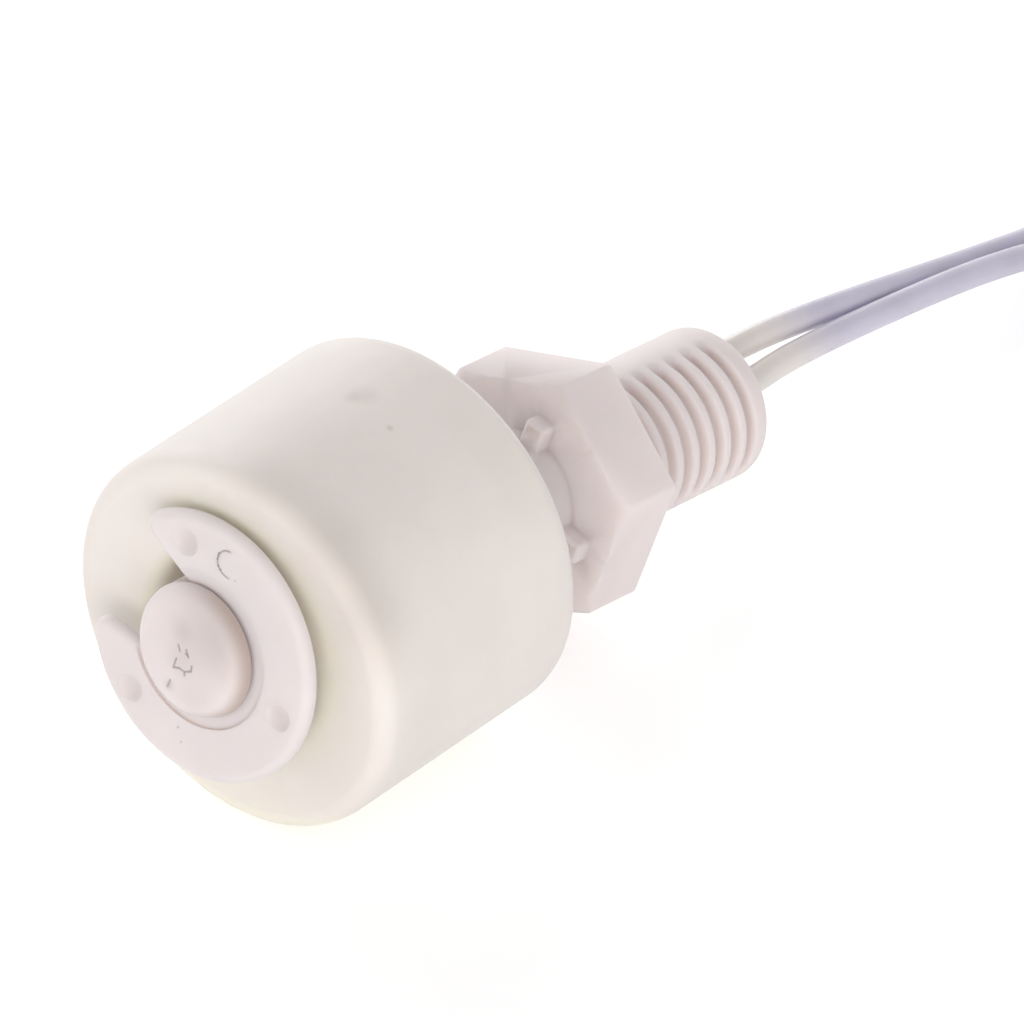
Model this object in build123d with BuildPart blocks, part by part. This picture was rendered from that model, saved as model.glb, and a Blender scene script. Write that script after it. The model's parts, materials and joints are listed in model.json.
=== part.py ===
"""Hanging or standing float level switch: a ring-magnet float that slides on a moulded stem.

Millimetres. The switch lies on a level surface, z = 0, on the side of its float. X runs along the
float's axis from the tip to the wires, Z is up, and the origin is under the middle of its length.
The stem is slack in the float's bore, so it tips down towards the wires. The two leads run down to
the surface and end in a put-away coil.
"""

import os
from math import atan2, cos, pi, radians, sin, sqrt, tan

from build123d import *

# Stem, from the tip (distances along its own axis)
stem_diameter = 8.4
head_length = 1.45
crown_height = 0.3
crown_edge = 1.1
neck_diameter = 7.1
neck_length = 0.85
stem_tilt = 8.0
stem_sag = 0.35

# Hexagon and threaded boss
hex_across_flats = 14.6
hex_thickness = 4.9
hex_chamfer_angle = 30.0
hex_corner_round = 0.5
hex_edge_round = 0.3
hex_turn = -14.5
hex_distance = 30.8
thread_diameter = 9.8
thread_length = 13.6
thread_chamfer = 0.9

# Stand-off nubs at the root of the stem
nub_count = 4
nub_height = 1.2
nub_width = 1.5
nub_reach = 1.7
nub_round = 0.3

# Blind bore that holds the reed switch
stem_bore_diameter = 6.2
tip_wall = 4.5
mouth_chamfer = 0.3

# Retaining clip
clip_diameter = 17.0
clip_thickness = 0.8
clip_rim_round = 0.6
clip_groove_play = 0.05
clip_throat_width = 6.5
clip_throat_reach = 3.9
clip_mouth_width = 8.2
clip_slot_turn = 22.0
clip_tip_round = 1.0
clip_recess_diameter = 10.1
clip_recess_depth = 0.2
clip_dimple_circle = 13.4
clip_dimple_radius = 1.35
clip_dimple_depth = 0.35
clip_dimple_turn = 76.0
clip_dimple_count = 3

# Float
float_diameter = 24.5
float_length = 17.6
float_edge = 1.2
float_wall = 1.2
float_bore = 12.0
bore_lead_in = 1.2
bore_tube_wall = 1.0
float_clip_gap = 0.78
cap_straight = 0.2
cap_ledge = 0.5
cap_ledge_length = 1.0
cap_fit = 0.02

# Ring magnet inside the float, between a shoulder of the bore tube and a collar of the cap
magnet_diameter = 17.6
magnet_length = 5.0
magnet_gap = 0.3
magnet_chamfer = 0.3
shoulder_width = 0.8

# Reed switch
reed_distance = 16.8
glass_diameter = 2.2
glass_length = 14.0
glass_wall = 0.3
glass_seal = 2.0
glass_round = 0.7
blade_thickness = 0.25
blade_width = 1.1
blade_overlap = 1.2
contact_gap = 0.12
reed_lead_diameter = 0.5
reed_lead_length = 2.6
reed_lead_bend = 0.8

# Leads, where they lie in the bore (across, up)
wire_diameter = 1.7
conductor_diameter = 0.8
wire_a_across = 1.35
wire_a_up = 1.65
wire_b_across = -0.9
wire_b_up = 0.2
solder_diameter = 1.6
solder_length = 2.2
solder_cover = 0.2
solder_film = 0.06
strip_gap = 0.8
sleeve_wall = 0.2
sleeve_overlap = 1.5
sleeve_play = 0.25
sleeve_gap = 0.3
resin_depth = 12.0
resin_recess = 0.4

# Put-away coil of both leads, wound side by side: two turns wide, with one more turn on top
coil_diameter = 18.7
coil_x = 71.0
coil_y = -10.75
coil_layers = 2
coil_corner = 0.5
bare_length = 5.0
bare_a_turn = 137.0
bare_b_turn = 173.0
bare_lean = 15.0
bare_sink = 0.05
tie_width = 2.5
tie_thickness = 0.4
tie_turn = 215.0

# Free stretch of each lead, between the resin and the coil
lead_a_corners = [
    (28.6, 1.3, 8.3),
    (33.4, 1.2, 7.5),
    (40.0, 1.1, 6.05),
    (50.0, 1.2, 3.45),
    (60.4, 1.15, 0.85),
]
lead_b_corners = [
    (28.4, -0.7, 6.93),
    (33.5, -0.5, 6.25),
    (40.5, -0.5, 5.15),
    (48.5, -0.6, 3.75),
    (54.5, -0.6, 2.25),
    (59.6, -0.6, 0.85),
]
corner_share = 0.45

tilt_cos = cos(radians(stem_tilt))
tilt_sin = sin(radians(stem_tilt))
stem_radius = stem_diameter / 2
neck_radius = neck_diameter / 2
thread_radius = thread_diameter / 2
bore_radius = stem_bore_diameter / 2
clip_bore_radius = neck_radius + clip_groove_play
wire_radius = wire_diameter / 2
conductor_radius = conductor_diameter / 2

# Distances from the tip along the stem
neck_end = head_length + neck_length
clip_outer = neck_end - clip_thickness
hex_end = hex_distance + hex_thickness
stem_end = hex_end + thread_length
resin_face = stem_end - resin_recess
resin_start = resin_face - resin_depth

# Radii and distances of the float, from its end at the clip
float_radius = float_diameter / 2
cavity_radius = float_radius - float_wall
cap_radius = float_radius - float_edge
ledge_radius = cap_radius - cap_ledge
float_bore_radius = float_bore / 2
mouth_radius = float_bore_radius + bore_lead_in
tube_radius = float_bore_radius + bore_tube_wall
shoulder_radius = tube_radius + shoulder_width
cap_start = float_length - bore_lead_in - cap_straight
magnet_start = (float_length - magnet_length) / 2

# The float's end face stands just behind the top edge of the clip.
clip_lean = clip_diameter / 2 * tilt_sin
float_distance = neck_end + (clip_lean + float_length / 2 + float_clip_gap) / tilt_cos

# The crown is a ball cap, so the foremost point of the tilted stem lies on it above the axis.
crown_reach = stem_radius - crown_edge
crown_radius = (crown_reach**2 + crown_height**2) / (2 * crown_height)
front_x = -crown_radius * (1 - tilt_cos)
back_x = stem_end * tilt_cos + (thread_radius - thread_chamfer) * tilt_sin
tip_x = -(front_x + back_x) / 2
tip_z = float_radius - stem_sag + float_distance * tilt_sin
float_start_x = tip_x + float_distance * tilt_cos - float_length / 2

# Stem planes: the square one has x across the stem, y up and z towards the wires.
tip = Vector(tip_x, 0, tip_z)
stem_way = Vector(tilt_cos, 0, -tilt_sin)
stem_plane = Plane(origin=tip, x_dir=(0, 1, 0), z_dir=stem_way)
stem_side = Plane(origin=tip, x_dir=stem_way, z_dir=(0, -1, 0))
stem_axis = Axis(tip, stem_way)
float_side = Plane(origin=(float_start_x, 0, float_radius), x_dir=(1, 0, 0), z_dir=(0, -1, 0))
float_axis = Axis(float_side.origin, (1, 0, 0))


def on_stem(distance, across, up):
    """Point beside the stem's axis, at a distance from the tip."""
    return stem_plane.from_local_coords(Vector(across, up, distance))


def beside_stem(distance, across, up):
    """Plane square to the stem, centred beside its axis."""
    return Plane(origin=on_stem(distance, across, up), x_dir=(0, 1, 0), z_dir=stem_way)


# Stem, hexagon, nubs and threaded boss, moulded as one piece
hex_corner_radius = hex_across_flats / 2 / cos(pi / 6)
hex_cone_length = (hex_corner_radius - hex_across_flats / 2) * tan(radians(hex_chamfer_angle))
with BuildPart() as nubs:
    with BuildSketch(stem_plane.offset(hex_distance)):
        with PolarLocations(stem_radius, nub_count, start_angle=hex_turn + 30):
            RectangleRounded(2 * nub_reach, nub_width, nub_round)
    extrude(amount=-nub_height)
    fillet(nubs.faces().sort_by(stem_axis)[:nub_count].edges(), nub_round)
with BuildPart() as stem_body:
    with BuildSketch(stem_plane.offset(hex_distance)) as hexagon:
        RegularPolygon(hex_corner_radius, 6, rotation=hex_turn)
        fillet(hexagon.vertices(), hex_corner_round)
    extrude(amount=hex_thickness)
    fillet(stem_body.faces().sort_by(stem_axis)[-1].edges(), hex_edge_round)
    with BuildSketch(stem_side):
        with BuildLine():
            Polyline(
                (hex_distance, 0),
                (hex_distance, hex_across_flats / 2),
                (hex_distance + hex_cone_length, hex_corner_radius),
                (hex_distance + hex_cone_length, hex_across_flats),
                (hex_end, hex_across_flats),
                (hex_end, 0),
                close=True,
            )
        make_face()
    revolve(axis=stem_axis, mode=Mode.INTERSECT)
    with BuildSketch(stem_side):
        with BuildLine():
            crown = RadiusArc((0, 0), (crown_height, crown_reach), crown_radius)
            rounding = TangentArc(
                crown @ 1, (crown_height + crown_edge, stem_radius), tangent=crown % 1
            )
            Polyline(
                rounding @ 1,
                (head_length, stem_radius),
                (head_length, neck_radius),
                (neck_end, neck_radius),
                (neck_end, stem_radius),
                (hex_end, stem_radius),
                (hex_end, thread_radius),
                (stem_end - thread_chamfer, thread_radius),
                (stem_end, thread_radius - thread_chamfer),
                (stem_end, 0),
                (0, 0),
            )
        make_face()
    revolve(axis=stem_axis)
    add(nubs.part)
    with BuildSketch(stem_plane.offset(tip_wall)):
        Circle(bore_radius)
    extrude(amount=stem_end - tip_wall, mode=Mode.SUBTRACT)
    mouth = stem_body.edges().filter_by(GeomType.CIRCLE).sort_by(stem_axis)[-2:]
    chamfer(mouth.sort_by(SortBy.RADIUS)[0], mouth_chamfer)

# Retaining clip, snapped into the groove behind the head, its slot open upwards and to the side
slot_way = stem_plane.x_dir * cos(radians(clip_slot_turn))
slot_way += stem_plane.y_dir * sin(radians(clip_slot_turn))
with BuildPart() as retaining_clip:
    with BuildSketch(
        Plane(origin=on_stem(clip_outer, 0, 0), x_dir=slot_way, z_dir=stem_way)
    ) as clip_outline:
        Circle(clip_diameter / 2)
        Circle(clip_bore_radius, mode=Mode.SUBTRACT)
        Polygon(
            (0, -clip_throat_width / 2),
            (clip_throat_reach, -clip_throat_width / 2),
            (clip_diameter / 2, -clip_mouth_width / 2),
            (clip_diameter / 2, clip_mouth_width / 2),
            (clip_throat_reach, clip_throat_width / 2),
            (0, clip_throat_width / 2),
            align=None,
            mode=Mode.SUBTRACT,
        )
        fillet(clip_outline.vertices().sort_by(Axis.X)[-2:], clip_tip_round)
    extrude(amount=clip_thickness)
    rim = retaining_clip.faces().sort_by(stem_axis)[0].edges()
    fillet(rim.filter_by(GeomType.CIRCLE).sort_by(SortBy.LENGTH)[-1], clip_rim_round)
    with BuildSketch(stem_plane.offset(clip_outer)):
        Circle(clip_recess_diameter / 2)
    extrude(amount=clip_recess_depth, mode=Mode.SUBTRACT)
    with Locations(stem_plane.offset(clip_outer + clip_dimple_depth - clip_dimple_radius)):
        with PolarLocations(
            clip_dimple_circle / 2, clip_dimple_count, start_angle=clip_dimple_turn
        ):
            Sphere(clip_dimple_radius, mode=Mode.SUBTRACT)

# Float shell, open at the end that faces the hexagon
with BuildPart() as float_shell:
    with BuildSketch(float_side):
        with BuildLine():
            Line((0, mouth_radius), (0, cap_radius))
            RadiusArc((0, cap_radius), (float_edge, float_radius), float_edge)
            Line((float_edge, float_radius), (float_length - float_edge, float_radius))
            RadiusArc(
                (float_length - float_edge, float_radius), (float_length, cap_radius), float_edge
            )
            Polyline(
                (float_length, cap_radius),
                (cap_start, cap_radius),
                (cap_start, ledge_radius),
                (cap_start - cap_ledge_length, ledge_radius),
                (cap_start - cap_ledge_length - cap_ledge, cavity_radius),
                (float_wall, cavity_radius),
                (float_wall, shoulder_radius),
                (magnet_start - magnet_gap, shoulder_radius),
                (magnet_start - magnet_gap, tube_radius),
                (cap_start, tube_radius),
                (cap_start, float_bore_radius),
                (bore_lead_in, float_bore_radius),
            )
            RadiusArc((bore_lead_in, float_bore_radius), (0, mouth_radius), bore_lead_in)
        make_face()
    revolve(axis=float_axis)

# End cap, welded in flush, with a collar that keeps the magnet on the bore tube
with BuildPart() as float_end_cap:
    with BuildSketch(float_side):
        with BuildLine():
            Line((cap_start, float_bore_radius), (float_length - bore_lead_in, float_bore_radius))
            RadiusArc(
                (float_length, mouth_radius),
                (float_length - bore_lead_in, float_bore_radius),
                bore_lead_in,
            )
            Polyline(
                (float_length, mouth_radius),
                (float_length, cap_radius - cap_fit),
                (cap_start, cap_radius - cap_fit),
                (cap_start, shoulder_radius),
                (magnet_start + magnet_length + magnet_gap, shoulder_radius),
                (magnet_start + magnet_length + magnet_gap, tube_radius + cap_fit),
                (cap_start, tube_radius + cap_fit),
                (cap_start, float_bore_radius),
            )
        make_face()
    revolve(axis=float_axis)

# Ring magnet
with BuildPart() as ring_magnet:
    with BuildSketch(Plane(origin=float_side.origin + (magnet_start, 0, 0), z_dir=(1, 0, 0))):
        Circle(magnet_diameter / 2)
        Circle(tube_radius + magnet_gap, mode=Mode.SUBTRACT)
    extrude(amount=magnet_length)
    chamfer(ring_magnet.edges().filter_by(GeomType.CIRCLE), magnet_chamfer)

# Lines in the bore: the reed lies beside lead b, away from lead a.
pair_turn = atan2(wire_a_up - wire_b_up, wire_a_across - wire_b_across)
lap = (reed_lead_diameter + conductor_diameter) / 2 + solder_film
reed_across = wire_b_across - lap * cos(pair_turn)
reed_up = wire_b_up - lap * sin(pair_turn)
joint_b_shift = (lap + (reed_lead_diameter - conductor_diameter) / 2) / 2
joint_b_across = wire_b_across - joint_b_shift * cos(pair_turn)
joint_b_up = wire_b_up - joint_b_shift * sin(pair_turn)
lead_end_across = wire_a_across - (conductor_radius + solder_film) * cos(pair_turn)
lead_end_up = wire_a_up - (conductor_radius + solder_film) * sin(pair_turn)

# Distances of the reed, its joints and the stripped ends
glass_start = reed_distance - glass_length / 2
glass_end = reed_distance + glass_length / 2
joint_a_distance = glass_start - reed_lead_length
joint_b_distance = glass_end + reed_lead_length + solder_cover - solder_length / 2
strip_a = joint_a_distance + solder_length / 2 + strip_gap
strip_b = joint_b_distance + solder_length / 2 + strip_gap
blade_length = glass_length / 2 - glass_seal + blade_overlap / 2
blade_shift = (contact_gap + blade_thickness) / 2

# Reed switch: a sealed glass tube with a blade from each end
with BuildPart() as reed_glass:
    with BuildSketch(beside_stem(glass_start, reed_across, reed_up)):
        Circle(glass_diameter / 2)
    extrude(amount=glass_length)
    fillet(reed_glass.edges().filter_by(GeomType.CIRCLE), glass_round)
    with BuildSketch(beside_stem(glass_start + glass_seal, reed_across, reed_up)):
        Circle(glass_diameter / 2 - glass_wall)
    extrude(amount=glass_length - 2 * glass_seal, mode=Mode.SUBTRACT)
    with BuildSketch(beside_stem(glass_start, reed_across, reed_up)):
        Circle(reed_lead_diameter / 2)
    extrude(amount=glass_length, mode=Mode.SUBTRACT)

# Blade from the tip's end, its lead bent across to lead a
with BuildPart() as reed_blade_a:
    with BuildLine() as reed_lead_a:
        FilletPolyline(
            on_stem(glass_start + glass_seal, reed_across, reed_up),
            on_stem(joint_a_distance, reed_across, reed_up),
            on_stem(joint_a_distance, lead_end_across, lead_end_up),
            radius=reed_lead_bend,
        )
    with BuildSketch(Plane(origin=reed_lead_a.line @ 0, z_dir=reed_lead_a.line % 0)):
        Circle(reed_lead_diameter / 2)
    sweep(path=reed_lead_a.line)
    with BuildSketch(beside_stem(glass_start + glass_seal, reed_across, reed_up)):
        with Locations((0, -blade_shift)):
            Rectangle(blade_width, blade_thickness)
    extrude(amount=blade_length)

# Blade from the other end, its lead straight beside lead b
with BuildPart() as reed_blade_b:
    with BuildSketch(beside_stem(glass_end - glass_seal, reed_across, reed_up)):
        Circle(reed_lead_diameter / 2)
    extrude(amount=glass_seal + reed_lead_length)
    with BuildSketch(beside_stem(glass_end - glass_seal, reed_across, reed_up)):
        with Locations((0, blade_shift)):
            Rectangle(blade_width, blade_thickness)
    extrude(amount=-blade_length)


def bore_rod(start, across, up, radius, hole=0.0):
    """Rod or tube along the bore, from a distance to the face of the resin."""
    with BuildPart() as rod:
        with BuildSketch(beside_stem(start, across, up)):
            Circle(radius)
            if hole:
                Circle(hole, mode=Mode.SUBTRACT)
        extrude(amount=resin_face - start)
    return rod


# Leads in the bore: stranded copper, and its insulation up to the stripped end
conductor_a_start = joint_a_distance + solder_cover - solder_length / 2
conductor_b_start = joint_b_distance + solder_cover - solder_length / 2
conductor_a = bore_rod(conductor_a_start, wire_a_across, wire_a_up, conductor_radius)
conductor_b = bore_rod(conductor_b_start, wire_b_across, wire_b_up, conductor_radius)
insulation_a = bore_rod(strip_a, wire_a_across, wire_a_up, wire_radius, conductor_radius)
insulation_b = bore_rod(strip_b, wire_b_across, wire_b_up, wire_radius, conductor_radius)


def solder_bead(distance, across, up, lead, conductor):
    """Bead of solder round a reed lead and a conductor."""
    with BuildPart() as bead:
        with BuildSketch(beside_stem(distance - solder_length / 2, across, up)):
            Circle(solder_diameter / 2)
        extrude(amount=solder_length)
        chamfer(bead.edges().filter_by(GeomType.CIRCLE), solder_diameter / 4)
        add(lead.part, mode=Mode.SUBTRACT)
        add(conductor.part, mode=Mode.SUBTRACT)
    return bead


solder_joint_a = solder_bead(
    joint_a_distance, wire_a_across, wire_a_up, reed_blade_a, conductor_a
)
solder_joint_b = solder_bead(
    joint_b_distance, joint_b_across, joint_b_up, reed_blade_b, conductor_b
)

# Shrink sleeve over the joint behind the reed
sleeve_start = glass_end + sleeve_gap
with BuildPart() as joint_sleeve:
    with BuildSketch(beside_stem(sleeve_start, wire_b_across, wire_b_up)):
        Circle(wire_radius + sleeve_play + sleeve_wall)
        Circle(wire_radius + sleeve_play, mode=Mode.SUBTRACT)
    extrude(amount=strip_b + sleeve_overlap - sleeve_start)

# Potting resin in the mouth of the bore, round both leads
with BuildPart() as potting_resin:
    with BuildSketch(stem_plane.offset(resin_start)):
        Circle(bore_radius)
        with Locations((wire_a_across, wire_a_up), (wire_b_across, wire_b_up)):
            Circle(wire_radius, mode=Mode.SUBTRACT)
    extrude(amount=resin_depth)

# Coil columns, counted outwards, and heights
coil_step_radius = coil_diameter / 2
coil_inner_radius = coil_step_radius - 2 * wire_diameter
coil_outer_radius = coil_step_radius + 2 * wire_diameter
coil_height = coil_layers * wire_diameter
coil_top = coil_height + wire_diameter
coil_centre = Vector(coil_x, coil_y, 0)


def coil_side(turn):
    """Upright plane through the coil's axis, x outwards and y up."""
    outwards = Vector(cos(radians(turn)), sin(radians(turn)), 0)
    return Plane(origin=coil_centre, x_dir=outwards, z_dir=outwards.cross(Vector(0, 0, 1)))


def coil_entry(across):
    """Point where a lead, lying on the surface, meets the outside of the coil."""
    reach = sqrt(coil_outer_radius**2 - (across - coil_y) ** 2)
    return (coil_x - reach, across, wire_radius)


def free_lead(corners):
    """Tube of straight runs joined by tangent arcs, and the arcs' radii."""
    radii = []
    corners = [Vector(*corner) for corner in corners]
    with BuildPart() as tube:
        with BuildLine() as route:
            start = corners[0]
            for before, corner, after in zip(corners, corners[1:], corners[2:]):
                run_in = corner - before
                run_out = after - corner
                trim = corner_share * min(run_in.length, run_out.length)
                arc_start = corner - run_in.normalized() * trim
                arc_end = corner + run_out.normalized() * trim
                Line(start, arc_start)
                TangentArc(arc_start, arc_end, tangent=run_in)
                radii.append(trim / tan(radians(run_in.get_angle(run_out)) / 2))
                start = arc_end
            Line(start, corners[-1])
        with BuildSketch(Plane(origin=route.line @ 0, z_dir=route.line % 0)):
            Circle(wire_radius)
        sweep(path=route.line)
    return tube, radii


lead_a, lead_a_radii = free_lead(
    [on_stem(resin_face, wire_a_across, wire_a_up)]
    + lead_a_corners
    + [coil_entry(lead_a_corners[-1][1])]
)
lead_b, lead_b_radii = free_lead(
    [on_stem(resin_face, wire_b_across, wire_b_up)]
    + lead_b_corners
    + [coil_entry(lead_b_corners[-1][1])]
)


def bare_end(turn):
    """Tinned end of a lead, out of the step of the coil and over its lower turns."""
    outwards = Vector(cos(radians(turn)), sin(radians(turn)), 0)
    onwards = Vector(outwards.Y, -outwards.X, 0)
    start = coil_centre + outwards * (coil_step_radius + bare_sink)
    start += Vector(0, 0, coil_height + wire_radius)
    way = onwards * cos(radians(bare_lean)) - outwards * sin(radians(bare_lean))
    with BuildPart() as end:
        with BuildSketch(Plane(origin=start, z_dir=way)):
            Circle(conductor_radius)
        extrude(amount=bare_length)
    return end


bare_end_a = bare_end(bare_a_turn)
bare_end_b = bare_end(bare_b_turn)

# Tie round the coil, pressed into its underside
tie_outline = [
    (coil_inner_radius, tie_thickness),
    (coil_outer_radius, tie_thickness),
    (coil_outer_radius, coil_top),
    (coil_step_radius, coil_top),
    (coil_inner_radius, coil_height),
]
with BuildPart() as lead_tie:
    with BuildSketch(coil_side(tie_turn)):
        Polygon(*tie_outline, align=None)
        offset(amount=tie_thickness)
        Polygon(*tie_outline, align=None, mode=Mode.SUBTRACT)
    extrude(amount=tie_width / 2, both=True)

# Outer shape of the coil
with BuildPart() as lead_coil:
    with BuildSketch(coil_side(0)):
        with Locations((coil_step_radius, coil_height / 2)):
            RectangleRounded(4 * wire_diameter, coil_height, coil_corner)
        with Locations((coil_step_radius + wire_diameter, coil_top / 2)):
            RectangleRounded(2 * wire_diameter, coil_top, coil_corner)
    revolve(axis=Axis(coil_centre, (0, 0, 1)))
    for piece in (lead_a, lead_b, bare_end_a, bare_end_b, lead_tie):
        add(piece.part, mode=Mode.SUBTRACT)

pieces = {
    "stem_body": stem_body,
    "retaining_clip": retaining_clip,
    "float_shell": float_shell,
    "float_end_cap": float_end_cap,
    "ring_magnet": ring_magnet,
    "reed_glass": reed_glass,
    "reed_blade_a": reed_blade_a,
    "reed_blade_b": reed_blade_b,
    "solder_joint_a": solder_joint_a,
    "solder_joint_b": solder_joint_b,
    "joint_sleeve": joint_sleeve,
    "conductor_a": conductor_a,
    "conductor_b": conductor_b,
    "insulation_a": insulation_a,
    "insulation_b": insulation_b,
    "potting_resin": potting_resin,
    "lead_a": lead_a,
    "lead_b": lead_b,
    "lead_coil": lead_coil,
    "bare_end_a": bare_end_a,
    "bare_end_b": bare_end_b,
    "lead_tie": lead_tie,
}
os.makedirs("parts", exist_ok=True)
for name, piece in pieces.items():
    piece.part.label = name
    export_step(piece.part, f"parts/{name}.step")

print("radii of the bends, lead a:", [round(radius, 1) for radius in lead_a_radii])
print("radii of the bends, lead b:", [round(radius, 1) for radius in lead_b_radii])
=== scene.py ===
"""Looks of the float level switch: its thread, mould marks, leads, materials, light and camera."""

import json
import math

import bmesh
import bpy
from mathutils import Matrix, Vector


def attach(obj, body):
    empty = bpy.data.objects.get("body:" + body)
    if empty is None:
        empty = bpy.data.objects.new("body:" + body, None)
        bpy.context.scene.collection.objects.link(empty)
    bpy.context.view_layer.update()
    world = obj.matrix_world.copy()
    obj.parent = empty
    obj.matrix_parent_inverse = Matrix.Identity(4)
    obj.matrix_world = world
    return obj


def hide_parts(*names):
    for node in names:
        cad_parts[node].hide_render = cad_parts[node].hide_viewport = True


MM = 0.001
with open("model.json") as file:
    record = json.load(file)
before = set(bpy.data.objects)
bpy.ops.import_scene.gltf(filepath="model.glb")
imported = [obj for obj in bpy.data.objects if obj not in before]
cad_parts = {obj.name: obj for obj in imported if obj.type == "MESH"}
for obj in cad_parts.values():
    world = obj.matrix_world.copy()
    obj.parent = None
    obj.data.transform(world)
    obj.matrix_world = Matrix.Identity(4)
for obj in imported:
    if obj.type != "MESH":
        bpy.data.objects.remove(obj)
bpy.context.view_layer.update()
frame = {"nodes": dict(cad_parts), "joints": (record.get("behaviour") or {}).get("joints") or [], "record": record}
nodes = frame["nodes"]
joints = {joint["name"]: joint for joint in frame["joints"]}
scene = bpy.context.scene
scene.view_settings.view_transform = "Standard"

# Stem's axis, from the slide joint, and its tip, from the mount in the middle of the boss.
# Distances along the axis are from the tip of the domed head.
STEM_LENGTH = 49.3 * MM
BOSS_START = 35.7 * MM
BOSS_MIDDLE = 41.7 * MM
CLIP_FACE = 1.5 * MM
stem_way = Vector(joints["float_slide"]["axis"]).normalized()
stem_across = Vector((0, 1, 0))
stem_up = stem_way.cross(stem_across)
stem_tip = Vector(frame["record"]["mounts"][0]["pos_m"]) - stem_way * BOSS_MIDDLE


def on_stem(distance, across=0.0, up=0.0):
    """Point beside the stem's axis, in metres from the tip."""
    return stem_tip + stem_way * distance + stem_across * across + stem_up * up


def round_the_axis(turn):
    """Unit vector square to the stem's axis, at an angle in degrees from across towards up."""
    around = math.radians(turn)
    return stem_across * math.cos(around) + stem_up * math.sin(around)


def smooth(value, low, high):
    """0 below a range, 1 above it, and smooth between."""
    share = min(max((value - low) / (high - low), 0.0), 1.0)
    return share * share * (3 - 2 * share)


def add_facing(name, data, target, azimuth, elevation, distance):
    """Adds a camera or a lamp that faces a point from an azimuth and an elevation in degrees."""
    around = math.radians(azimuth)
    height = math.radians(elevation)
    away = Vector(
        (
            math.cos(height) * math.cos(around),
            math.cos(height) * math.sin(around),
            math.sin(height),
        )
    )
    obj = bpy.data.objects.new(name, data)
    scene.collection.objects.link(obj)
    obj.location = target + away * distance
    obj.rotation_euler = away.to_track_quat("Z", "Y").to_euler()
    return obj


# Camera, at the photograph's angle
CAMERA_TARGET = Vector((1.622, -3.083, 11.690)) * MM
CAMERA_AZIMUTH = -139.56
CAMERA_ELEVATION = 34.52
CAMERA_DISTANCE = 798.5 * MM
CAMERA_LENS = 470.27
CAMERA_SENSOR = 36.0
CAMERA_RANGE = (0.05, 20.0)

camera_data = bpy.data.cameras.new("camera")
camera_data.sensor_width = CAMERA_SENSOR
camera_data.lens = CAMERA_LENS
camera_data.clip_start, camera_data.clip_end = CAMERA_RANGE
scene.camera = add_facing(
    "camera", camera_data, CAMERA_TARGET, CAMERA_AZIMUTH, CAMERA_ELEVATION, CAMERA_DISTANCE
)

# Leads: the same corners as the solids' route, then the turns of the put-away coil. The coil's
# diameter is at the middle of its turns, and its angles are in degrees.
WIRE_DIAMETER = 1.7 * MM
COIL_CENTRE = Vector((71.0, -10.75, 0.0)) * MM
COIL_DIAMETER = 18.7 * MM
COIL_START = 90
COIL_STEP = 22.5
LEAD_EXIT_DISTANCE = 48.9 * MM
LEAD_A = {
    "node": "lead_a",
    "side": 1,
    "exit": on_stem(LEAD_EXIT_DISTANCE, 1.35 * MM, 1.65 * MM),
    "corners": [
        (28.6, 1.3, 8.2),
        (33.4, 1.2, 7.37),
        (40.0, 1.1, 5.9),
        (50.0, 1.2, 3.27),
        (60.4, 1.15, 0.85),
    ],
    "coil_end": 1393.0,
    "length": 0.3,
}
LEAD_B = {
    "node": "lead_b",
    "side": -1,
    "exit": on_stem(LEAD_EXIT_DISTANCE, -0.9 * MM, 0.2 * MM),
    "corners": [
        (28.33, -0.76, 7.2),
        (33.43, -0.58, 6.55),
        (40.43, -0.58, 5.47),
        (48.43, -0.68, 4.07),
        (54.43, -0.68, 2.5),
        (59.6, -0.6, 0.85),
    ],
    "coil_end": 1357.0,
    "length": 0.255,
}
# Angles at which the pair of leads changes column or layer: (start, end, change)
COLUMN_CHANGES = [(215, 315, -1), (770, 870, 1), (1325, 1425, -1)]
LAYER_CHANGES = [(510, 575, 1), (1065, 1130, 1)]
POINT_RADIUS = 0.001
CURVE_ROUNDNESS = 6
CURVE_STEPS = 8
STRANDS = 7
STRAND_STEPS = 24
STRAND_SIDES = 10
STRAND_TWIST = 7 * MM
SHARP_ANGLE = 40


def eased(turned, changes):
    """Sum of the changes, each run through smoothly between its two angles."""
    return sum(change * smooth(turned, start, end) for start, end, change in changes)


def coil_point(turned, side):
    """Point of the coil after an angle; side is 1 for the outer lead of the pair."""
    column = 1 + eased(turned, COLUMN_CHANGES) * 2
    radius = COIL_DIAMETER / 2 + column * WIRE_DIAMETER + side * WIRE_DIAMETER / 2
    height = (0.5 + eased(turned, LAYER_CHANGES)) * WIRE_DIAMETER
    angle = math.radians(COIL_START - turned)
    return COIL_CENTRE + Vector((radius * math.cos(angle), radius * math.sin(angle), height))


def lead_route(lead):
    """Control points of a lead, from the resin to the stripped end."""
    points = [lead["exit"]]
    points += [Vector(corner) * MM for corner in lead["corners"]]
    steps = round(lead["coil_end"] / COIL_STEP)
    points += [coil_point(lead["coil_end"] * i / steps, lead["side"]) for i in range(steps + 1)]
    return points


def curve_object(name, points, radius):
    """Tube along a smooth line. Its points are thin, because the curve's box grows by them."""
    data = bpy.data.curves.new(name, "CURVE")
    data.dimensions = "3D"
    data.bevel_depth = radius / POINT_RADIUS
    data.bevel_resolution = CURVE_ROUNDNESS
    data.resolution_u = CURVE_STEPS
    data.use_fill_caps = True
    spline = data.splines.new("NURBS")
    spline.points.add(len(points) - 1)
    for place, point in zip(spline.points, points):
        place.co = (*point, 1.0)
        place.radius = POINT_RADIUS
    spline.order_u = 3
    spline.use_endpoint_u = True
    obj = bpy.data.objects.new(name, data)
    scene.collection.objects.link(obj)
    return obj


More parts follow.
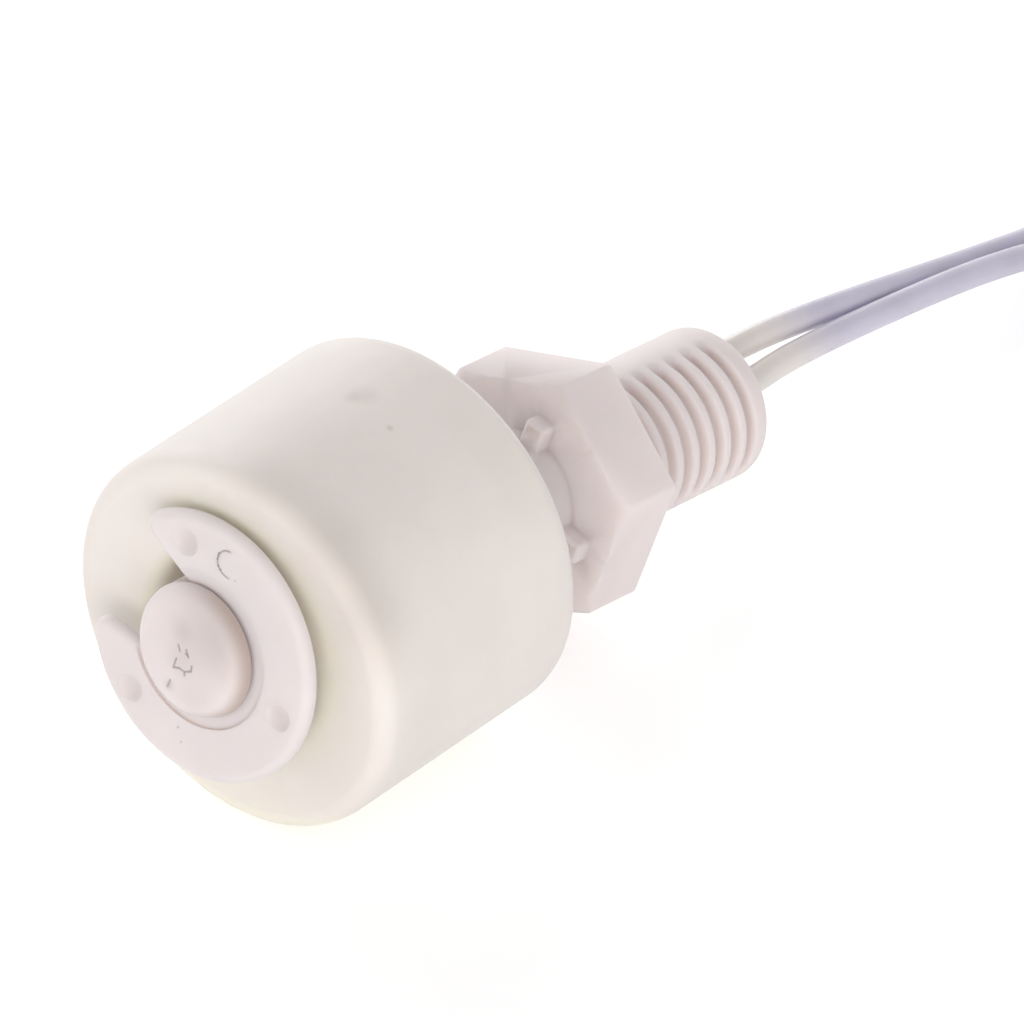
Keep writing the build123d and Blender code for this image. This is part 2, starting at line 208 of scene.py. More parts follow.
def join_rings(mesh, rings):
    """Faces between each ring of points and the next, all of the same number."""
    for inner, outer in zip(rings, rings[1:]):
        for i in range(len(inner)):
            j = (i + 1) % len(inner)
            mesh.faces.new((inner[i], inner[j], outer[j], outer[i]))


def mesh_piece(name, mesh, slot, *replaced, sharp=SHARP_ANGLE):
    """Object from a finished bmesh, riding on the stem."""
    bmesh.ops.recalc_face_normals(mesh, faces=mesh.faces)
    for face in mesh.faces:
        face.smooth = True
    data = bpy.data.meshes.new(name)
    mesh.to_mesh(data)
    mesh.free()
    data.set_sharp_from_angle(angle=math.radians(sharp))
    piece = bpy.data.objects.new(name, data)
    scene.collection.objects.link(piece)
    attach(piece, "stem")
    if replaced:
        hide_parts(*replaced)
    return piece


def add_strand(mesh, line, radius):
    """Closed tube along a line of points."""
    rings = []
    for i, point in enumerate(line):
        way = (line[min(i + 1, len(line) - 1)] - line[max(i - 1, 0)]).normalized()
        across = way.cross(Vector((0, 0, 1))).normalized()
        up = across.cross(way)
        ring = []
        for j in range(STRAND_SIDES):
            around = math.tau * j / STRAND_SIDES
            offset = across * math.cos(around) + up * math.sin(around)
            ring.append(mesh.verts.new(point + offset * radius))
        rings.append(ring)
    join_rings(mesh, rings)
    mesh.faces.new(rings[0])
    mesh.faces.new(rings[-1])


def centre(points):
    """Middle of some points."""
    return sum(points, Vector()) / len(points)


def make_strands(node):
    """Twisted strands in the place of a bare end."""
    points = [vertex.co for vertex in nodes[node].data.vertices]
    middle = centre(points)
    way = max(points, key=lambda point: (point - middle).length) - middle
    ahead = [point for point in points if (point - middle).dot(way) > 0]
    behind = [point for point in points if (point - middle).dot(way) <= 0]
    start = centre(behind)
    way = (centre(ahead) - start).normalized()
    first = min((point - start).dot(way) for point in points)
    last = max((point - start).dot(way) for point in points)
    radius = max((point - start - way * (point - start).dot(way)).length for point in points)
    side = way.cross(Vector((0, 0, 1))).normalized()
    up = side.cross(way)
    mesh = bmesh.new()
    for strand in range(STRANDS):
        line = []
        for step in range(STRAND_STEPS + 1):
            along = first + (last - first) * step / STRAND_STEPS
            around = math.tau * (strand / (STRANDS - 1) + along / STRAND_TWIST)
            reach = radius * 2 / 3 if strand else 0.0
            offset = side * math.cos(around) + up * math.sin(around)
            line.append(start + way * along + offset * reach)
        add_strand(mesh, line, radius / 3)
    return mesh_piece(node + "_strands", mesh, "tinned_copper", node)


def make_lead(lead):
    """A lead as a free cord, standing for its tube; it ends in its bare strands."""
    points = lead_route(lead)
    cord = curve_object(lead["node"] + "_wire", points, WIRE_DIAMETER / 2)
    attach(cord, "stem")
    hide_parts(lead["node"], "lead_coil")
    strands = make_strands(lead["node"].replace("lead", "bare_end"))
    return cord, strands


leads = [make_lead(LEAD_A), make_lead(LEAD_B)]

# Stem: its own mesh, with the plain boss exchanged for the moulded thread and the crown for one
# that carries the scar of the mould's gate. Turns round the axis are in degrees.
RING_POINTS = 144
STEM_SHARP_ANGLE = 32
SLACK = 0.002 * MM
MERGE_DISTANCE = 0.0001 * MM
MOUTH_RADIUS = 3.35 * MM
THREAD_PITCH = 1.5 * MM
THREAD_DEPTH = 0.6 * MM
THREAD_START = 36.2 * MM
THREAD_END = 48.0 * MM
THREAD_STEP = 0.075 * MM
THREAD_RISE = (36.5 * MM, 37.3 * MM)
THREAD_FADE = (47.2 * MM, 47.9 * MM)
CREST_RADIUS = 4.9 * MM
GROOVE_START = 38.81 * MM
# Half of the groove's floor and of its mouth, as shares of the pitch
GROOVE_SHARES = (0.1, 0.37)
# Plain band at the mould's parting: its turn, half of its plain part and half of its whole width
BAND_TURN = 66
BAND_HALVES = (24, 40)
# Ends of the boss, as distances and radii in millimetres
BOSS_ROOT = [(35.7, 5.15), (35.74, 5.02), (35.83, 4.93), (35.97, 4.9)]
BOSS_END = [
    (48.3, 4.9),
    (48.42, 4.87),
    (48.55, 4.79),
    (48.8, 4.54),
    (49.05, 4.29),
    (49.2, 4.14),
    (49.27, 4.04),
    (49.3, 3.92),
]
CROWN_REACH = 3.1 * MM
CROWN_HEIGHT = 0.3 * MM
CROWN_RADIUS = (CROWN_REACH**2 + CROWN_HEIGHT**2) / (2 * CROWN_HEIGHT)
CROWN_STEP = 0.05 * MM
CROWN_RINGS = 59
# Torn edge of the gate, across and up from the stem's axis in millimetres
SCAR_LINES = [
    [(0.38, -0.23), (0.57, -0.93), (0.09, -0.78), (-0.27, -0.88), (-0.78, -0.64), (-0.81, -0.29)],
    [(0.32, 0.68), (0.16, 0.36)],
    [(-0.31, 0.6), (-0.51, 0.2), (-0.3, 0.36)],
    [(-0.27, -0.88), (-0.31, -1.11)],
    [(0.78, -1.9), (1.0, -2.5)],
]
# Distances from that edge, in millimetres, at which the scar starts to fade and is gone
SCAR_WIDTHS = (0.02, 0.11)
SCAR_DEPTH = 0.07 * MM
# Ring of the ejector pin on the clip's face: its place, and its radii and heights in millimetres
WITNESS_ACROSS = -1.72 * MM
WITNESS_UP = 6.37 * MM
WITNESS_POINTS = 48
WITNESS_PROFILE = [(0.78, -0.02), (0.82, 0.012), (0.86, 0.02), (0.9, 0.012), (0.94, -0.02)]
WITNESS_SUNK = 0.012


def thread_radius(distance, turn):
    """Radius of the threaded boss; two bands along the mould's parting stay plain."""
    turns_on = (distance - GROOVE_START) / THREAD_PITCH - turn / 360
    from_groove = abs((turns_on + 0.5) % 1 - 0.5)
    from_band = abs((turn - BAND_TURN + 90) % 180 - 90)
    shown = smooth(from_band, *BAND_HALVES)
    shown *= smooth(distance, *THREAD_RISE)
    shown *= 1 - smooth(distance, *THREAD_FADE)
    return CREST_RADIUS - THREAD_DEPTH * (1 - smooth(from_groove, *GROOVE_SHARES)) * shown


def to_segment(point, start, end):
    """Distance of a point from a segment."""
    way = end - start
    share = min(max((point - start).dot(way) / way.length_squared, 0.0), 1.0)
    return (point - start - way * share).length


def scar(across, up):
    """Strength of the gate's scar at a point of the crown, in millimetres from the axis."""
    point = Vector((across, up))
    nearest = min(
        to_segment(point, Vector(start), Vector(end))
        for line in SCAR_LINES
        for start, end in zip(line, line[1:])
    )
    return 1 - smooth(nearest, *SCAR_WIDTHS)


def ring_edges(mesh, ring):
    """Edges round a ring of points."""
    return [mesh.edges.get(pair) for pair in zip(ring, ring[1:] + ring[:1])]


def fill_between(mesh, rim, ring):
    """Flat faces between an open rim and a ring of points."""
    edges = rim + ring_edges(mesh, ring)
    bmesh.ops.triangle_fill(mesh, use_beauty=True, edges=edges, normal=stem_way)


def stem_vertex(mesh, distance, radius, turn):
    """New vertex at a distance along the stem, a radius and a turn."""
    around = math.radians(turn)
    place = on_stem(distance, radius * math.cos(around), radius * math.sin(around))
    return mesh.verts.new(place)


def remove_faces(mesh, chosen):
    """Deletes the faces whose distances and radii are all chosen; returns the open rims."""

    def along(vertex):
        return (vertex.co - stem_tip).dot(stem_way)

    def outwards(vertex):
        return ((vertex.co - stem_tip) - stem_way * along(vertex)).length

    gone = [face for face in mesh.faces if all(chosen(along(v), outwards(v)) for v in face.verts)]
    bmesh.ops.delete(mesh, geom=gone, context="FACES")
    return [edge for edge in mesh.edges if edge.is_boundary]


def build_stem():
    """Copy of the stem with its thread and its gate scar."""
    mesh = bmesh.new()
    mesh.from_mesh(nodes["stem_body"].data)
    bmesh.ops.remove_doubles(mesh, verts=mesh.verts, dist=MERGE_DISTANCE)
    turns = [360 * i / RING_POINTS for i in range(RING_POINTS)]

    rims = remove_faces(mesh, lambda s, r: s > BOSS_START - SLACK and r > MOUTH_RADIUS)
    middle = (BOSS_START + STEM_LENGTH) / 2
    hexagon_rim = [e for e in rims if (e.verts[0].co - stem_tip).dot(stem_way) < middle]
    mouth_rim = [e for e in rims if e not in hexagon_rim]
    rings = [[stem_vertex(mesh, s * MM, r * MM, turn) for turn in turns] for s, r in BOSS_ROOT]
    steps = round((THREAD_END - THREAD_START) / THREAD_STEP)
    for i in range(steps + 1):
        s = THREAD_START + (THREAD_END - THREAD_START) * i / steps
        rings.append([stem_vertex(mesh, s, thread_radius(s, turn), turn) for turn in turns])
    rings += [[stem_vertex(mesh, s * MM, r * MM, turn) for turn in turns] for s, r in BOSS_END]
    join_rings(mesh, rings)
    fill_between(mesh, hexagon_rim, rings[0])
    fill_between(mesh, mouth_rim, rings[-1])

    crown_rim = remove_faces(mesh, lambda s, r: s < CROWN_HEIGHT + SLACK)
    wear = mesh.verts.layers.float.new("scar")
    rings = []
    for i in range(1, CROWN_RINGS + 1):
        radius = CROWN_STEP * i
        s = CROWN_RADIUS - math.sqrt(CROWN_RADIUS**2 - radius**2)
        ring = []
        for turn in turns:
            around = math.radians(turn)
            strength = scar(radius / MM * math.cos(around), radius / MM * math.sin(around))
            vertex = stem_vertex(mesh, s + SCAR_DEPTH * strength, radius, turn)
            vertex[wear] = strength
            ring.append(vertex)
        rings.append(ring)
    join_rings(mesh, rings)
    mesh.faces.new(rings[0])
    fill_between(mesh, crown_rim, rings[-1])

    return mesh_piece("stem", mesh, "stem_plastic", "stem_body", sharp=STEM_SHARP_ANGLE)


def build_witness_ring():
    """Thin ring that the mould's ejector pin left on the clip; it sinks in on one side."""
    mesh = bmesh.new()
    middle = on_stem(CLIP_FACE, WITNESS_ACROSS, WITNESS_UP)
    rings = []
    for radius, height in WITNESS_PROFILE:
        ring = []
        for i in range(WITNESS_POINTS):
            turn = 360 * i / WITNESS_POINTS
            fade = 0.5 + 0.5 * math.cos(math.radians(turn))
            raised = height if height < 0 else height * fade - WITNESS_SUNK * (1 - fade)
            place = middle + round_the_axis(turn) * radius * MM - stem_way * raised * MM
            ring.append(mesh.verts.new(place))
        rings.append(ring)
    join_rings(mesh, rings + rings[:1])
    return mesh_piece("clip_witness_ring", mesh, "clip_plastic")


stem = build_stem()
witness_ring = build_witness_ring()

# Materials. Noise keeps to the middle of 0 to 1, so it is spread out from there.
NOISE_SPAN = (0.3, 0.7)
UNSTRETCHED = (1, 1, 1)


class Shader:
    """One material's node tree, with short calls for the nodes that the materials share."""

    def __init__(self, name):
        self.material = bpy.data.materials.new(name)
        self.material.use_nodes = True
        self.tree = self.material.node_tree
        self.tree.nodes.clear()
        self.coordinates = self.node("ShaderNodeTexCoord").outputs["Object"]

    def node(self, kind, **settings):
        """New node, with settings for its properties."""
        made = self.tree.nodes.new(kind)
        for key, value in settings.items():
            setattr(made, key, value)
        return made

    def feed(self, socket, value):
        """Links a socket to another node's output, or sets its number or colour."""
        if isinstance(value, bpy.types.NodeSocket):
            self.tree.links.new(value, socket)
        elif isinstance(value, tuple) and socket.type == "RGBA":
            socket.default_value = (*value[:3], 1.0)
        else:
            socket.default_value = value

    def noise(self, size, detail=2.0, roughness=0.5, stretch=UNSTRETCHED):
        """Noise from 0 to 1 with blobs of about a size in millimetres."""
        place = self.node("ShaderNodeMapping")
        self.feed(place.inputs["Vector"], self.coordinates)
        place.inputs["Scale"].default_value = stretch
        texture = self.node("ShaderNodeTexNoise")
        self.feed(texture.inputs["Vector"], place.outputs["Vector"])
        texture.inputs["Scale"].default_value = 1 / (size * MM)
        texture.inputs["Detail"].default_value = detail
        texture.inputs["Roughness"].default_value = roughness
        return texture.outputs["Fac"]

    def steps(self, value, low, high, out_low=0.0, out_high=1.0):
        """Value run smoothly from one range to another, and held at its ends."""
        ranged = self.node("ShaderNodeMapRange", interpolation_type="SMOOTHSTEP")
        self.feed(ranged.inputs["Value"], value)
        ranged.inputs["From Min"].default_value = low
        ranged.inputs["From Max"].default_value = high
        ranged.inputs["To Min"].default_value = out_low
        ranged.inputs["To Max"].default_value = out_high
        return ranged.outputs["Result"]

    def combine(self, operation, first, second):
        """Result of a Math node."""
        made = self.node("ShaderNodeMath", operation=operation)
        self.feed(made.inputs[0], first)
        self.feed(made.inputs[1], second)
        return made.outputs[0]

    def times(self, first, second):
        """Product of two values."""
        return self.combine("MULTIPLY", first, second)

    def blend(self, share, first, second):
        """Colour between two others."""
        made = self.node("ShaderNodeMix", data_type="RGBA")
        self.feed(made.inputs[0], share)
        self.feed(made.inputs[6], first)
        self.feed(made.inputs[7], second)
        return made.outputs[2]

    def measure(self, operation, vector, other=None, output="Value"):
        """Result of a Vector Math node."""
        made = self.node("ShaderNodeVectorMath", operation=operation)
        self.feed(made.inputs[0], vector)
        if other is not None:
            made.inputs[1].default_value = other
        return made.outputs[output]

    def spot(self, place, radius):
        """1 at a point of the object, falling to 0 at a radius in millimetres."""
        gap = self.measure("DISTANCE", self.coordinates, place)
        return self.steps(gap, 0.0, radius * MM, 1.0, 0.0)

    def painted_edge_shade(self):
        """Mask of painted shade: 1 on the domed head's rounded edge, and less of it towards positive Y."""
        offset = self.measure("SUBTRACT", self.coordinates, on_stem(0), "Vector")
        around = self.measure("CROSS_PRODUCT", offset, stem_way, "Vector")
        away = self.steps(self.measure("LENGTH", around), *EDGE_RADII)
        near = self.steps(self.measure("DOT_PRODUCT", offset, stem_way), *EDGE_DISTANCES, 1, 0)
        facing = self.steps(self.measure("DOT_PRODUCT", offset, -stem_across), *EDGE_SIDES)
        return self.times(self.times(away, near), facing)

    def crevice(self, reach):
        """0 in the open and 1 deep in a crevice, looked for within millimetres; it places painted crevice shading.
        """
        shade = self.node("ShaderNodeAmbientOcclusion", samples=8)
        shade.inputs["Distance"].default_value = reach * MM
        return self.combine("SUBTRACT", 1.0, shade.outputs["AO"])

    def bump(self, height, depth, below=None):
        """Normal from a height between 0 and 1, with its depth in millimetres."""
        made = self.node("ShaderNodeBump")
        made.inputs["Strength"].default_value = 1.0
        made.inputs["Distance"].default_value = depth * MM
        self.feed(made.inputs["Height"], height)
        if below is not None:
            self.feed(made.inputs["Normal"], below)
        return made.outputs["Normal"]

    def surface(self, colour, roughness, normal, **fixed):
        """Principled surface, its other values fixed over the whole surface."""
        principled = self.node("ShaderNodeBsdfPrincipled")
        self.feed(principled.inputs["Base Color"], colour)
        self.feed(principled.inputs["Roughness"], roughness)
        self.feed(principled.inputs["Normal"], normal)
        for key, value in fixed.items():
            self.feed(principled.inputs[key.replace("_", " ")], value)
        output = self.node("ShaderNodeOutputMaterial")
        self.tree.links.new(principled.outputs["BSDF"], output.inputs["Surface"])
        return self.material


def moulded(name, colour, pit_and_painted_crevice_shading, painted_crevice_share, marks, scarred_and_edge_shaded=False, reach=2.0):
    """Matt moulded plastic: soft blotches, a fine skin, small pits, painted shade in crevices (painted light where
    the crevice colour is the lighter one) and marks, some of them painted shade.
    """
    shader = Shader(name)
    lighter = tuple(min(part * 1.02, 1.0) for part in colour)
    darker = tuple(part * 0.975 for part in colour)
    blotches = shader.steps(shader.noise(size=6.0, detail=3.0), *NOISE_SPAN)
    base = shader.blend(blotches, darker, lighter)
    pits = shader.steps(shader.noise(size=0.5), low=0.66, high=0.82)
    base = shader.blend(shader.times(pits, 0.1), base, pit_and_painted_crevice_shading)
    # Painted shade in crevices, or painted light where the crevice colour is lighter than the plastic
    depth = shader.steps(shader.crevice(reach), low=0.1, high=0.7, out_high=painted_crevice_share)
    base = shader.blend(depth, base, pit_and_painted_crevice_shading)
    # Marks: stains and specks, and spots of painted shade
    for place, radius, share, mark_colour in marks:
        base = shader.blend(shader.times(shader.spot(place, radius), share), base, mark_colour)
    if scarred_and_edge_shaded:
        # Painted shade on one side of the head's rounded edge, then the dark tint of the gate's scar
        base = shader.blend(shader.times(shader.painted_edge_shade(), EDGE_PAINTED_SHADE_SHARE), base, EDGE_PAINTED_SHADE_COLOUR)
        torn = shader.node("ShaderNodeAttribute", attribute_name="scar").outputs["Fac"]
        base = shader.blend(shader.times(torn, SCAR_SHARE), base, MARK_COLOUR)
    patches = shader.noise(size=1.5, detail=3.0)
    roughness = shader.steps(patches, *NOISE_SPAN, out_low=0.5, out_high=0.6)
    skin = shader.bump(shader.noise(size=0.12), depth=0.004)
    skin = shader.bump(shader.noise(size=2.5), depth=0.015, below=skin)
    return shader.surface(
        base,
        roughness,
        skin,
        Specular_IOR_Level=0.35,
        Subsurface_Weight=0.6,
        Subsurface_Radius=(0.0016, 0.0014, 0.0012),
        Subsurface_Scale=1.0,
        Sheen_Weight=0.3,
        Sheen_Roughness=0.4,
    )


def insulation():
    """Limp, slightly clear wire insulation: lavender, greyer near the resin, with dark specks on its underside."""
    shader = Shader("wire_insulation")
    along = shader.node("ShaderNodeSeparateXYZ")
    shader.feed(along.inputs["Vector"], shader.coordinates)
    near_resin = shader.steps(along.outputs["X"], *WIRE_EXIT_FADE, out_low=1.0, out_high=0.0)
    patches = shader.steps(shader.noise(size=3.0), *NOISE_SPAN)
    base = shader.blend(patches, WIRE_COLOUR, tuple(part * 1.06 for part in WIRE_COLOUR))
    base = shader.blend(near_resin, base, WIRE_EXIT_COLOUR)
    specks = shader.steps(shader.noise(size=0.5, detail=3.0), low=0.63, high=0.72)
    streaks = shader.steps(shader.noise(size=5.0, detail=1.0), low=0.5, high=0.62)
    specks = shader.times(specks, shader.times(streaks, 0.7))
    facing = shader.node("ShaderNodeSeparateXYZ")
    shader.feed(facing.inputs["Vector"], shader.node("ShaderNodeNewGeometry").outputs["Normal"])
    underneath = shader.steps(facing.outputs["Z"], low=-0.5, high=0.0, out_low=1.0, out_high=0.0)
    base = shader.blend(shader.times(specks, underneath), base, UNDERSIDE_SPECK_COLOUR)
    roughness = shader.steps(shader.noise(size=1.0), *NOISE_SPAN, out_low=0.28, out_high=0.4)
    return shader.surface(
        base,
        roughness,
        shader.bump(shader.noise(size=0.8), depth=0.012),
        Specular_IOR_Level=0.5,
        Subsurface_Weight=0.8,
        Subsurface_Radius=(0.0012, 0.0012, 0.0014),
        Subsurface_Scale=1.0,
    )


def plain(name, colour, other, size, low, high, stretch=UNSTRETCHED, depth=0.01, **fixed):
    """Material with two mixed colours, an uneven roughness and a fine relief of one grain."""
    shader = Shader(name)
    grain = shader.noise(size, detail=4.0, roughness=0.6, stretch=stretch)
    base = shader.blend(shader.steps(grain, *NOISE_SPAN), colour, other)
    roughness = shader.steps(grain, low=0.25, high=0.75, out_low=low, out_high=high)
    return shader.surface(base, roughness, shader.bump(grain, depth), **fixed)


def dress(material, *names):
    """Gives a material to CAD nodes."""
    for name in names:
        data = nodes[name].data
        data.materials.clear()
        data.materials.append(material)


STEM_COLOUR = (0.827, 0.752, 0.747)
CLIP_COLOUR = (0.79, 0.725, 0.725)
FLOAT_COLOUR = (0.86, 0.795, 0.75)
# Painted shade in the stem's and clip's crevices; it also tints small pits
PIT_AND_PAINTED_SHADE_COLOUR = (0.62, 0.51, 0.47)
# Painted light in the float's crevices, lighter than the float; it also tints small pits
FLOAT_PIT_AND_PAINTED_LIGHT_COLOUR = (1.0, 0.93, 0.78)
WIRE_COLOUR = (0.6, 0.575, 0.67)
WIRE_EXIT_COLOUR = (0.78, 0.74, 0.7)
WIRE_EXIT_FADE = (29 * MM, 36 * MM)
UNDERSIDE_SPECK_COLOUR = (0.36, 0.29, 0.28)
MARK_COLOUR = (0.22, 0.19, 0.19)
SMUDGE_COLOUR = (0.5, 0.44, 0.4)
SHADE_COLOUR = (0.52, 0.46, 0.44)
# Painted shade on one side of the head's rounded edge
EDGE_PAINTED_SHADE_COLOUR = (0.44, 0.34, 0.29)
# Painted shade along the float's rounded rim
RIM_PAINTED_SHADE_COLOUR = (0.62, 0.57, 0.53)
EDGE_PAINTED_SHADE_SHARE = 0.8
SCAR_SHARE = 0.58
# Painted shade on the rounded edge of the head: radii, distances from the tip, and places across the stem
EDGE_RADII = (3.5 * MM, 4.3 * MM)
EDGE_DISTANCES = (1.5 * MM, 2 * MM)
EDGE_SIDES = (-2 * MM, 3 * MM)

# Small marks in millimetres. On the clip's face: across, up, radius and share of the colour
CLIP_SPECKS = [
    (-0.92, 6.8, 0.13, 0.9),
    (-0.88, 6.62, 0.13, 0.9),
    (-0.83, 6.42, 0.13, 0.7),
    (-0.97, 6.0, 0.12, 0.8),
    (-1.15, 5.8, 0.12, 0.8),
    (-1.6, 7.2, 0.12, 0.4),
    (-2.3, 5.55, 0.12, 0.35),
    (0.97, -5.68, 0.14, 0.5),
    (0.64, -6.55, 0.12, 0.5),
]
# Shade in the clip's dimples: their circle's radius, their turns, and the shade's own look
DIMPLE_CIRCLE = 6.7 * MM
DIMPLE_TURNS = (76, 196, 316)
DIMPLE_SHADE = (1.5, 0.3, SHADE_COLOUR)
# On the stem: distance, across, up, radius, share and colour
STEM_MARKS = [
    # The first two are painted shade over the domed head
    (0.3, -2.4, 2.2, 5.5, 0.6, SHADE_COLOUR),
    (0.8, -1.2, -2.6, 2.5, 0.3, SHADE_COLOUR),
    (0.1, 0.09, 1.6, 1.2, 0.3, SMUDGE_COLOUR),
    (0.1, 0.0, -0.2, 1.6, 0.22, SMUDGE_COLOUR),
    (0.1, 0.85, -2.3, 0.7, 0.35, SMUDGE_COLOUR),
    (0.5, -3.63, 1.85, 0.16, 0.8, MARK_COLOUR),
]
# On the float: x, y, z, radius, share and colour
FLOAT_MARKS = [
    (-8.96, -0.66, 24.48, 1.4, 0.22, SMUDGE_COLOUR),
    (-9.6, -0.3, 24.45, 0.8, 0.2, SMUDGE_COLOUR),
    (-10.0, -3.58, 23.96, 0.35, 0.4, SMUDGE_COLOUR),
    # Painted shade along the rounded rim of the float's end
    (-20.0, -2.7, 25.5, 5.0, 0.4, RIM_PAINTED_SHADE_COLOUR),
    (-19.8, -7.8, 23.0, 5.0, 0.6, RIM_PAINTED_SHADE_COLOUR),
    (-19.8, -11.2, 19.6, 5.0, 0.65, RIM_PAINTED_SHADE_COLOUR),
]
# Plain materials: name, two colours, grain in millimetres, lowest and highest roughness, what else
# is set, and the CAD nodes that get it
PLAIN_MATERIALS = [
    (
        ("ferrite", (0.055, 0.05, 0.05), (0.1, 0.095, 0.09), 0.4, 0.6, 0.85),
        {"depth": 0.03},
        ["ring_magnet"],
    ),
    (
        ("reed_glass", (0.86, 0.93, 0.88), (0.9, 0.96, 0.92), 3.0, 0.02, 0.08),
        {"Transmission_Weight": 1.0, "IOR": 1.5},
        ["reed_glass"],
    ),
    (
        ("reed_metal", (0.6, 0.59, 0.56), (0.72, 0.7, 0.67), 0.25, 0.2, 0.4),
        {"stretch": (0.1, 1, 1), "depth": 0.004, "Metallic": 1.0},
        ["reed_blade_a", "reed_blade_b"],
    ),
    (
        ("solder", (0.55, 0.55, 0.56), (0.68, 0.68, 0.68), 0.5, 0.25, 0.5),
        {"Metallic": 1.0},
        ["solder_joint_a", "solder_joint_b"],
    ),
    (
        ("shrink_sleeve", (0.02, 0.02, 0.021), (0.035, 0.034, 0.034), 0.6, 0.5, 0.7),
        {},
        ["joint_sleeve"],
    ),
    (
        ("copper", (0.78, 0.36, 0.2), (0.88, 0.46, 0.28), 0.2, 0.25, 0.45),
        {"stretch": (0.15, 1, 1), "Metallic": 1.0},
        ["conductor_a", "conductor_b"],
    ),
    (
        ("resin", (0.72, 0.66, 0.6), (0.78, 0.73, 0.67), 1.2, 0.2, 0.35),
        {
            "depth": 0.05,
            "Subsurface_Weight": 0.5,
            "Subsurface_Radius": (0.001, 0.0008, 0.0006),
            "Subsurface_Scale": 1.0,
        },
        ["potting_resin"],
    ),
    (
        ("tie_plastic", (0.76, 0.76, 0.74), (0.82, 0.82, 0.8), 1.0, 0.3, 0.45),
        {
            "Subsurface_Weight": 0.3,
            "Subsurface_Radius": (0.001, 0.001, 0.001),
            "Subsurface_Scale": 1.0,
        },
        ["lead_tie"],
    ),
]

clip_marks = [
    (on_stem(CLIP_FACE, across * MM, up * MM), radius, share, MARK_COLOUR)
    for across, up, radius, share in CLIP_SPECKS
]
clip_marks += [
    (on_stem(CLIP_FACE) + round_the_axis(turn) * DIMPLE_CIRCLE, *DIMPLE_SHADE)
    for turn in DIMPLE_TURNS
]
stem_marks = [
    (on_stem(distance * MM, across * MM, up * MM), *look)
    for distance, across, up, *look in STEM_MARKS
]
float_marks = [(Vector((x, y, z)) * MM, *look) for x, y, z, *look in FLOAT_MARKS]

stem_plastic = moulded(
    "stem_plastic", STEM_COLOUR, PIT_AND_PAINTED_SHADE_COLOUR, 0.8, stem_marks, scarred_and_edge_shaded=True
)
clip_plastic = moulded("clip_plastic", CLIP_COLOUR, PIT_AND_PAINTED_SHADE_COLOUR, 0.35, clip_marks)
float_plastic = moulded(
    "float_plastic", FLOAT_COLOUR, FLOAT_PIT_AND_PAINTED_LIGHT_COLOUR, 1.0, float_marks, reach=5.0
)
wire_material = insulation()
tinned = plain(
    "tinned_copper", (0.58, 0.57, 0.55), (0.74, 0.73, 0.71), 0.3, 0.22, 0.42, Metallic=1.0
)
stem.data.materials.append(stem_plastic)
witness_ring.data.materials.append(clip_plastic)
for cord, strands in leads:
    cord.data.materials.append(wire_material)
    strands.data.materials.append(tinned)
dress(clip_plastic, "retaining_clip")
dress(float_plastic, "float_shell", "float_end_cap")
dress(wire_material, "insulation_a", "insulation_b")
for look, settings, names in PLAIN_MATERIALS:
    dress(plain(*look, **settings), *names)

# Light: a bright world, brighter towards its horizon, with one soft lamp low in front and one
# behind; lamps are name, azimuth, elevation, power and colour
HORIZON_LIGHT = (1.29, 1.275, 1.27, 1.0)
TOP_LIGHT = (0.42, 0.415, 0.42, 1.0)
TOP_HEIGHT = 0.6
LAMPS = [
    ("front_lamp", 218, 8, 6.2, (1.0, 0.99, 0.97)),
    ("back_lamp", 60, 25, 5.3, (1.0, 0.99, 0.985)),
]
LAMP_DISTANCE = 1.0
LAMP_SIZE = 0.8

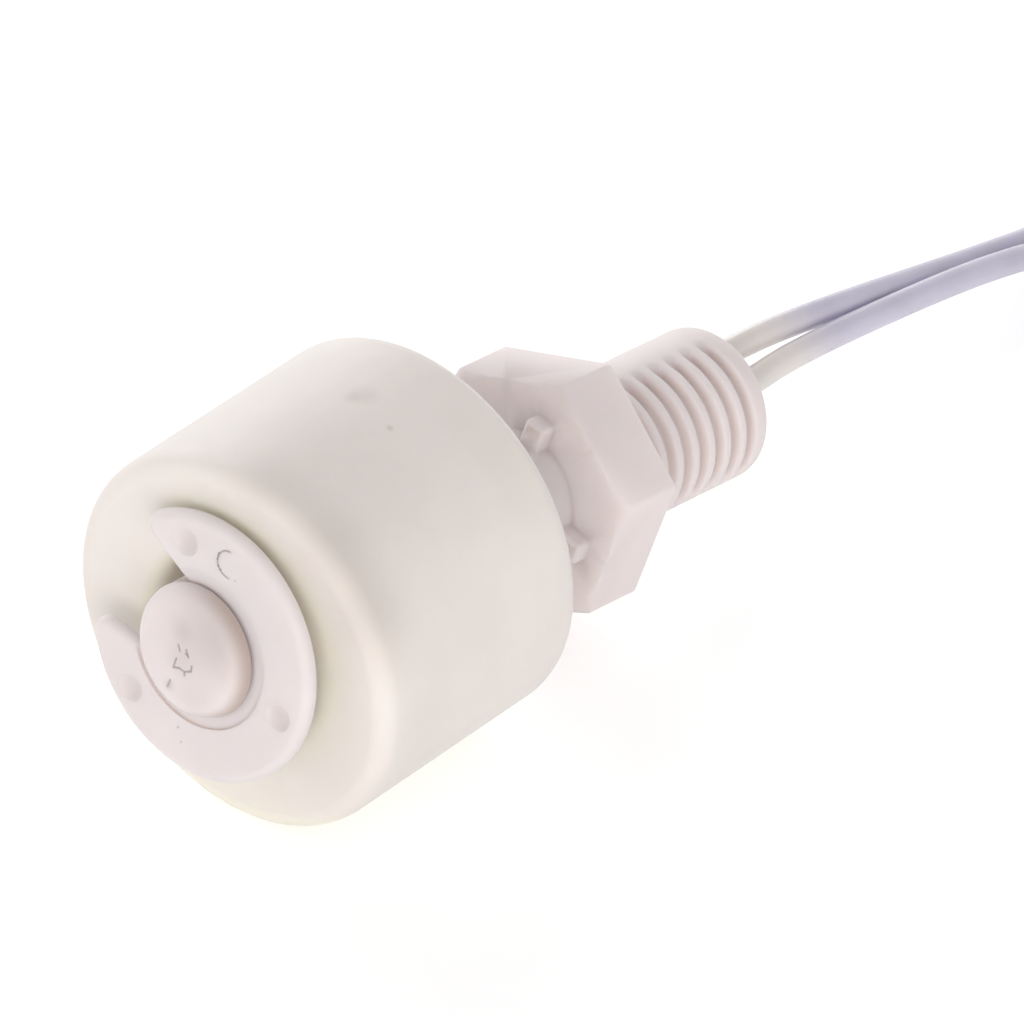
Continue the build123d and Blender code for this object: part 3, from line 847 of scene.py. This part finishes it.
world = bpy.data.worlds.new("studio")
scene.world = world
world.use_nodes = True
sky = world.node_tree
background = sky.nodes["Background"]
background.inputs["Strength"].default_value = 1.0
way_up = sky.nodes.new("ShaderNodeSeparateXYZ")
sky.links.new(sky.nodes.new("ShaderNodeTexCoord").outputs["Generated"], way_up.inputs["Vector"])
height_range = sky.nodes.new("ShaderNodeMapRange")
sky.links.new(way_up.outputs["Z"], height_range.inputs["Value"])
height_range.inputs["From Max"].default_value = TOP_HEIGHT
height_colours = sky.nodes.new("ShaderNodeMix")
height_colours.data_type = "RGBA"
sky.links.new(height_range.outputs["Result"], height_colours.inputs[0])
height_colours.inputs[6].default_value = HORIZON_LIGHT
height_colours.inputs[7].default_value = TOP_LIGHT
sky.links.new(height_colours.outputs[2], background.inputs["Color"])

for name, azimuth, elevation, power, colour in LAMPS:
    lamp_data = bpy.data.lights.new(name, "AREA")
    lamp_data.shape = "SQUARE"
    lamp_data.size = LAMP_SIZE
    lamp_data.energy = power
    lamp_data.color = colour
    add_facing(name, lamp_data, Vector(), azimuth, elevation, LAMP_DISTANCE)

# Floor: white to the camera outside the object's shadow
FLOOR_REACH = 3
FLOOR_COLOUR = (0.95, 0.95, 0.95, 1.0)
FLOOR_LIFT = 0.4

floor_data = bpy.data.meshes.new("floor")
floor_corners = [
    (x * FLOOR_REACH, y * FLOOR_REACH, 0) for x, y in [(-1, -1), (1, -1), (1, 1), (-1, 1)]
]
floor_data.from_pydata(floor_corners, [], [(0, 1, 2, 3)])
floor = bpy.data.objects.new("floor", floor_data)
scene.collection.objects.link(floor)
floor_shader = Shader("floor")
rays = floor_shader.node("ShaderNodeLightPath").outputs
seen = floor_shader.combine("MAXIMUM", rays["Is Camera Ray"], rays["Is Glossy Ray"])
seen = floor_shader.combine("MAXIMUM", seen, rays["Is Transmission Ray"])
diffuse = floor_shader.node("ShaderNodeBsdfDiffuse")
diffuse.inputs["Color"].default_value = FLOOR_COLOUR
lift = floor_shader.node("ShaderNodeEmission")
floor_shader.feed(lift.inputs["Strength"], floor_shader.times(seen, FLOOR_LIFT))
both = floor_shader.node("ShaderNodeAddShader")
floor_shader.feed(both.inputs[0], diffuse.outputs[0])
floor_shader.feed(both.inputs[1], lift.outputs[0])
floor_output = floor_shader.node("ShaderNodeOutputMaterial")
floor_shader.feed(floor_output.inputs["Surface"], both.outputs[0])
floor_data.materials.append(floor_shader.material)
